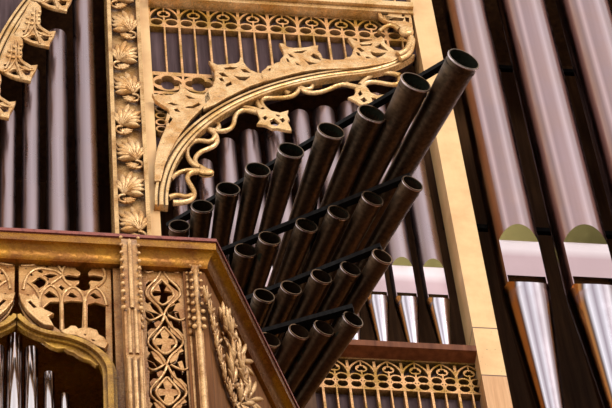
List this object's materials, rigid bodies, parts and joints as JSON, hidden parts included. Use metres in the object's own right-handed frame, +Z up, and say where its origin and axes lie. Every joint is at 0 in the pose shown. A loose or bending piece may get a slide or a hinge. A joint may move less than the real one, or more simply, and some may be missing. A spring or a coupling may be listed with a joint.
{
  "type": "pipe organ with horizontal trumpets",
  "caption": "Pipe organ case with a raised central tower, flat fields of tin pipes under gilt ogee arches and tracery, fans of horizontal trumpets and low front cases",
  "frame": {"origin": "on the organ axis under the front plane of the main case, at ground level, on the underside of the dais's middle bearer", "axes": "+X across the front to the right, +Z up, the front faces -Y"},
  "size_m": [6.44, 2.8, 7.7],
  "materials": {
    "gilt": "gilded carved wood, satin",
    "oak": "waxed brown wood",
    "shadow_board": "dark matt boards",
    "tin": "burnished tin, satin",
    "dark_metal": "dark tarnished pipe metal"
  },
  "bodies": {
    "root": {"dais_skirting": "oak", "dais_deck": "oak", "main_plinth": "oak", "lower_frame": "oak", "lower_panels": "oak", "impost_beam": "gilt", "inner_posts": "gilt", "plain_strips": "gilt", "foliage_pilasters": "gilt", "end_pilasters": "gilt", "lower_tracery": "gilt", "trumpet_toe_boards": "oak", "low_toe_boards": "oak", "bay_arches": "gilt", "arch_scrolls": "gilt", "bay_tracery": "gilt", "backing_boards": "shadow_board", "storey_beams": "gilt", "upper_tracery": "gilt", "outer_arches": "gilt", "outer_cusps": "gilt", "tower_arch": "gilt", "tower_keystone": "gilt", "case_sides": "oak", "case_back": "oak", "case_roofs": "oak", "side_cornice": "gilt", "tower_cornice": "gilt", "cornice_pinnacles": "gilt", "tower_pipes": "tin", "bay_flues": "tin", "outer_pipes": "tin", "trumpet_chests": "oak", "pipe_rails": "dark_metal", "trumpets_upper": "dark_metal", "trumpets_lower": "dark_metal", "chair_plinths": "oak", "chair_walls": "oak", "chair_front_frames": "gilt", "chair_cornices": "gilt", "chair_arches": "gilt", "chair_tracery": "gilt", "chair_buttresses": "gilt", "chair_toe_boards": "oak", "chair_pipes": "tin"}
  },
  "joints": []
}
